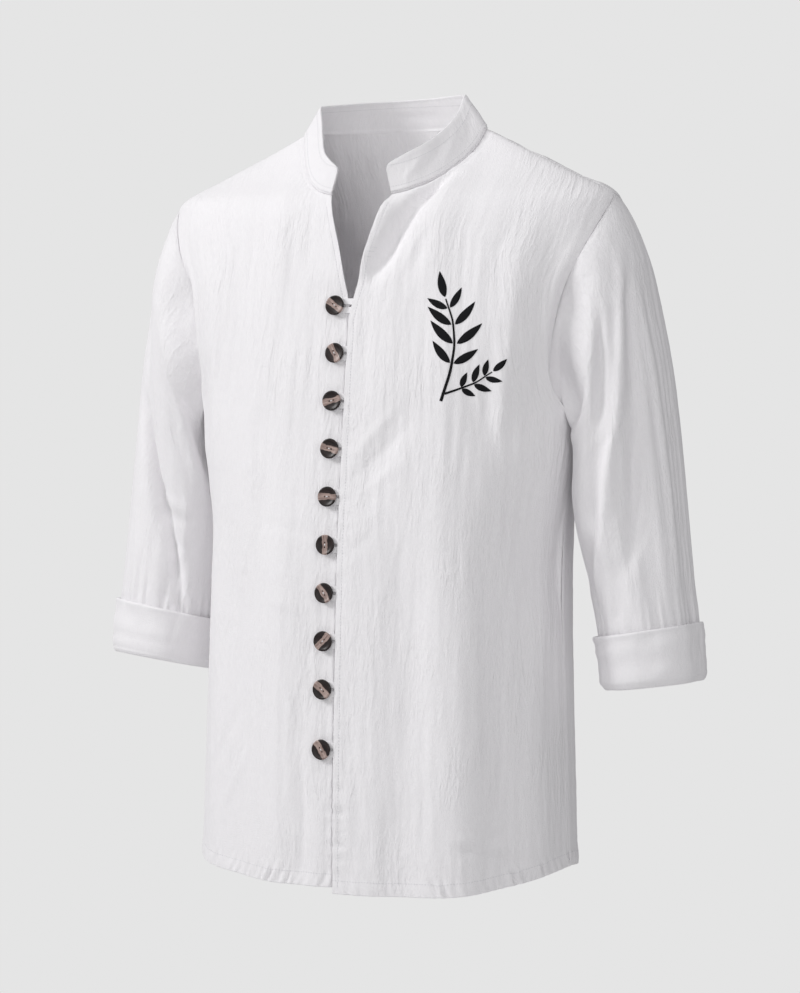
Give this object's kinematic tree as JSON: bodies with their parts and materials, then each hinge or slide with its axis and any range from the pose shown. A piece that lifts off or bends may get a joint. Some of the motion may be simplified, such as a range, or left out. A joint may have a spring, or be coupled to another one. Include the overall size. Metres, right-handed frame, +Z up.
{
  "type": "mandarin collar shirt",
  "caption": "Hollow worn shirt with a band collar open in a V, round buttons held by cloth loops, cuffed three-quarter sleeves and a curved hem.",
  "frame": {"origin": "middle of the neck base, level with the neck ends of the shoulder seams", "axes": "+X to the wearer's left, the front faces -Y, +Z up"},
  "size_m": [0.6394, 0.2552, 0.7846],
  "materials": {
    "cloth": "white crinkled cotton gauze",
    "button": "dark brown mottled horn look, polished"
  },
  "bodies": {
    "root": {"front_left": "cloth", "front_right": "cloth", "back": "cloth", "collar": "cloth", "sleeve_left": "cloth", "cuff_left": "cloth", "sleeve_right": "cloth", "cuff_right": "cloth", "loop_01": "cloth", "button_01": "button", "loop_02": "cloth", "button_02": "button", "loop_03": "cloth", "button_03": "button", "loop_04": "cloth", "button_04": "button", "loop_05": "cloth", "button_05": "button", "loop_06": "cloth", "button_06": "button", "loop_07": "cloth", "button_07": "button", "loop_08": "cloth", "button_08": "button", "loop_09": "cloth", "button_09": "button", "loop_10": "cloth", "button_10": "button"}
  },
  "joints": []
}
